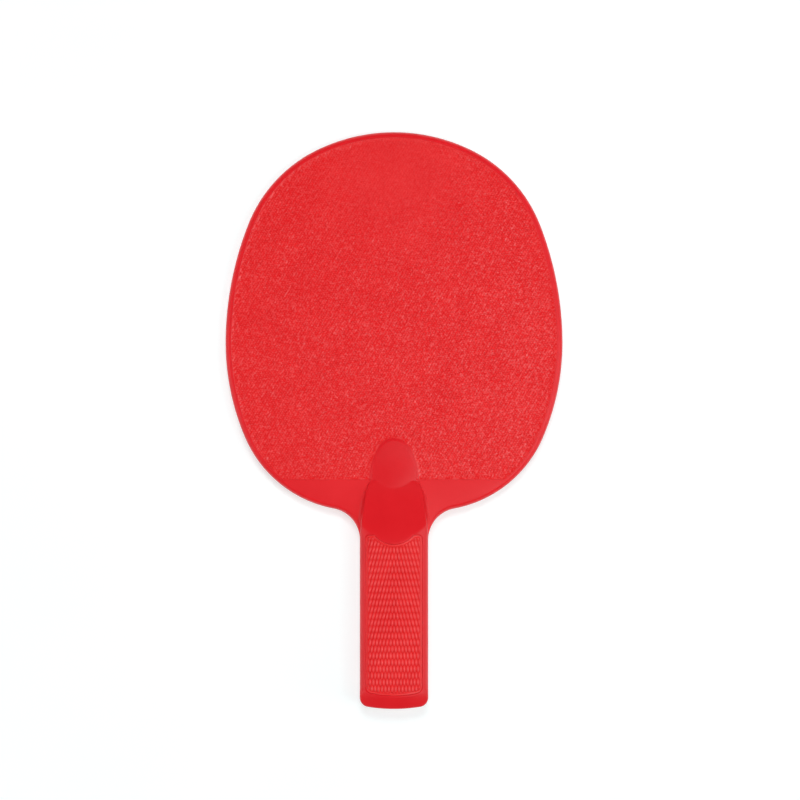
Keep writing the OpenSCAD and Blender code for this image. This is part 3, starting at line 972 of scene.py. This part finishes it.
def red_plastic(name, roughness, grain_mm, grain_scale, specular=0.5, shade=1.0, relief=None):
    """One red moulded plastic: cloudy pigment, uneven gloss, slight waves and a fine surface grain.

    The relief gives the heights, from 0 to 1, over which painted shade turns to painted highlight and gloss
    rises.
    """
    nodes = Nodes(name, sum(roughness) / 2, specular)
    red = nodes.ramp(nodes.noise(CLOUD_SCALE, 4), RED_DEEP, RED_LIGHT)
    if shade < 1:
        red = nodes.scaled(red, (shade, 1, 1))
    if relief:
        raised = nodes.raised(*relief)
        # Painted shade darkens the pits and painted highlights pale the tops, keyed to the relief
        red = nodes.mixed(raised, nodes.scaled(red, PAINTED_PIT_SHADE), nodes.scaled(red, PAINTED_TOP_HIGHLIGHT))
        nodes.use("Specular IOR Level", nodes.between(raised, SPECULAR_IN_PITS, SPECULAR_ON_TOPS))
    nodes.use("Base Color", red)
    nodes.use("Roughness", nodes.ranged(nodes.noise(GLOSS_SCALE), *roughness))
    waves = nodes.bump(nodes.noise(WAVE_SCALE, 2), WAVE_MM)
    nodes.use("Normal", nodes.bump(nodes.noise(grain_scale, 3, 0.6), grain_mm, after=waves))
    return nodes.material


def steel(name, scratch_scale):
    """Zinc-plated steel with turning marks and uneven gloss."""
    nodes = Nodes(name, roughness=0.35)
    nodes.shader.inputs["Metallic"].default_value = 1.0
    nodes.use("Base Color", nodes.ramp(nodes.noise(STEEL_CLOUD_SCALE, 4), STEEL_DARK, STEEL_LIGHT))
    nodes.use("Roughness", nodes.ranged(nodes.noise(STEEL_GLOSS_SCALE), *STEEL_ROUGHNESS))
    nodes.use("Normal", nodes.bump(nodes.noise(scratch_scale, 5, 0.7), SCRATCH_MM))
    return nodes.material


# ---------------------------------------------------------------------------------------------------------
# Studio
# ---------------------------------------------------------------------------------------------------------
# Soft lights: zenith and azimuth in degrees, distance and size in metres, share of a white table's
# brightness, and if reflections show the light
SOFTBOXES = {
    "key": (19, -22, 0.85, (0.2, 0.2), 0.16, True),
    "second": (18, 202, 1.6, (0.36, 0.36), 0.02, True),
    "top": (13, 90, 2.0, (0.36, 0.36), 0.40, False),
    "right": (50, -10, 2.0, (0.83, 1.5), 0.15, True),
    "left": (50, 190, 2.0, (0.83, 1.5), 0.12, True),
}

# The room's brightness from the horizon, at 0, to straight overhead, at 1
ROOM_STOPS = ((0.0, 0.85), (0.4, 0.25), (0.8, 0.08))

# The table top: how far it reaches and how far it lies below the paddle, in metres, its tints and its glow
TABLE_REACH = 4.0
TABLE_DROP = 0.0004
TABLE_DARK = (0.43, 0.52, 0.52)
TABLE_LIGHT = (0.45, 0.54, 0.54)
TABLE_GLOW = (0.98, 1, 1, 1)
TABLE_GLOW_STRENGTH = 0.60

# The camera's lens and sensor in millimetres, and in metres how wide a strip of the paddle's middle plane
# it sees and how far it is moved from the paddle's centre
LENS = 200
SENSOR = 36
VIEW_WIDTH = 0.3615
VIEW_SHIFT = (0.0027, 0.0090)


def aimed(thing, target):
    """Turns a light or camera to look at a point."""
    thing.rotation_euler = (Vector(target) - thing.location).to_track_quat("-Z", "Y").to_euler()


def softbox(name, zenith, azimuth, away, size, share, glossy):
    """A rectangular soft light, aimed at the paddle, that gives that share of a white table's brightness."""
    z, a = math.radians(zenith), math.radians(azimuth)
    lamp = bpy.data.lights.new(name, "AREA")
    lamp.shape = "RECTANGLE"
    lamp.size, lamp.size_y = size
    lamp.energy = share * math.pi**2 * away**2 / math.cos(z)
    box = bpy.data.objects.new(name, lamp)
    middle = Vector((0, 0, HALF_T * MM))
    way = Vector((math.sin(z) * math.cos(a), math.sin(z) * math.sin(a), math.cos(z)))
    box.location = middle + away * way
    box.visible_glossy = glossy
    aimed(box, middle)
    bpy.context.scene.collection.objects.link(box)


def surroundings():
    """A white room, dim overhead and bright at the horizon."""
    world = bpy.data.worlds.new("white_room")
    world.use_nodes = True
    tree = world.node_tree
    split = tree.nodes.new("ShaderNodeSeparateXYZ")
    tree.links.new(tree.nodes.new("ShaderNodeTexCoord").outputs["Generated"], split.inputs[0])
    ramp = tree.nodes.new("ShaderNodeValToRGB")
    stops = ramp.color_ramp.elements
    stops[1].position = ROOM_STOPS[2][0]
    stops.new(ROOM_STOPS[1][0])
    for stop, (_, grey) in zip(stops, ROOM_STOPS):
        stop.color = (grey, grey, grey, 1)
    tree.links.new(split.outputs["Z"], ramp.inputs["Fac"])
    tree.links.new(ramp.outputs["Color"], tree.nodes["Background"].inputs["Color"])
    return world


def studio_floor():
    """A white table top, tilted so that the paddle lies on it by its handle and the tip of its blade."""
    tip = Vector((0, (TIP_Y - RIM_W) * MM, (HALF_T - FACE_Z) * MM))
    heel = Vector((0, RAMP_TOP_Y * MM, 0))
    tilt = math.atan2(tip.z - heel.z, tip.y - heel.y)
    mesh = bpy.data.meshes.new("floor")
    corners = TABLE_REACH * np.array([(-1, -1), (1, -1), (1, 1), (-1, 1)])
    points = [(x, y, heel.z - TABLE_DROP + (y - heel.y) * math.tan(tilt)) for x, y in corners]
    mesh.from_pydata(points, [], [(0, 1, 2, 3)])
    nodes = Nodes("table_white", 0.6, 0.2)
    nodes.use("Base Color", nodes.ramp(nodes.noise(8, 2), TABLE_DARK, TABLE_LIGHT))
    nodes.shader.inputs["Emission Color"].default_value = TABLE_GLOW
    nodes.shader.inputs["Emission Strength"].default_value = TABLE_GLOW_STRENGTH
    mesh.materials.append(nodes.material)
    floor = bpy.data.objects.new("floor", mesh)
    bpy.context.scene.collection.objects.link(floor)


def studio():
    """White surroundings, soft lights and a camera straight above."""
    scene = bpy.context.scene
    scene.view_settings.view_transform = "Standard"
    scene.world = surroundings()
    for name, light in SOFTBOXES.items():
        softbox(name, *light)
    studio_floor()
    camera_data = bpy.data.cameras.new("camera")
    camera_data.lens = LENS
    camera_data.sensor_width = SENSOR
    camera = bpy.data.objects.new("camera", camera_data)
    middle = Vector((0, 0, HALF_T * MM))
    camera.location = middle + Vector((*VIEW_SHIFT, VIEW_WIDTH * LENS / SENSOR))
    scene.collection.objects.link(camera)
    scene.camera = camera


# ---------------------------------------------------------------------------------------------------------
# The paddle
# ---------------------------------------------------------------------------------------------------------
def placed(piece, node):
    """The piece rides on the one body and stands in for a CAD node, which is hidden."""
    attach(piece, "root")
    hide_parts(node)


smooth_red = red_plastic("smooth_red", (0.36, 0.42), 0.004, 1500, specular=0.38, shade=0.98)
# The pebbled and grip plastics carry painted shade in their pits and painted highlights on their tops
pebbled_red = red_plastic("pebbled_red", (0.35, 0.42), 0.006, 1600, relief=(0.15, 1.0))
# Its shade darkens the handle's red: partly its own deeper red, partly painted shade for the ramp and butt
# bevel
handle_red = red_plastic("handle_red", (0.36, 0.42), 0.005, 1400, specular=0.36, shade=0.92)
grip_red = red_plastic("grip_red", (0.36, 0.44), 0.006, 1300, relief=(-0.05, 1.1))

placed(blade_plate(smooth_red), "blade_plate")
placed(face_skin(pebbled_red, False), "front_face_skin")
placed(face_skin(pebbled_red, True), "rear_face_skin")
placed(handle_scale(handle_red, False), "front_handle_scale")
placed(handle_scale(handle_red, True), "rear_handle_scale")
placed(grip_insert(grip_red, False), "front_grip_insert")
placed(grip_insert(grip_red, True), "rear_grip_insert")

metals = {"scale_screws": steel("screw_steel", 2200), "tang_dowels": steel("dowel_steel", 1500)}
for node, material in metals.items():
    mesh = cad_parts[node].data
    mesh.materials.clear()
    mesh.materials.append(material)

studio()
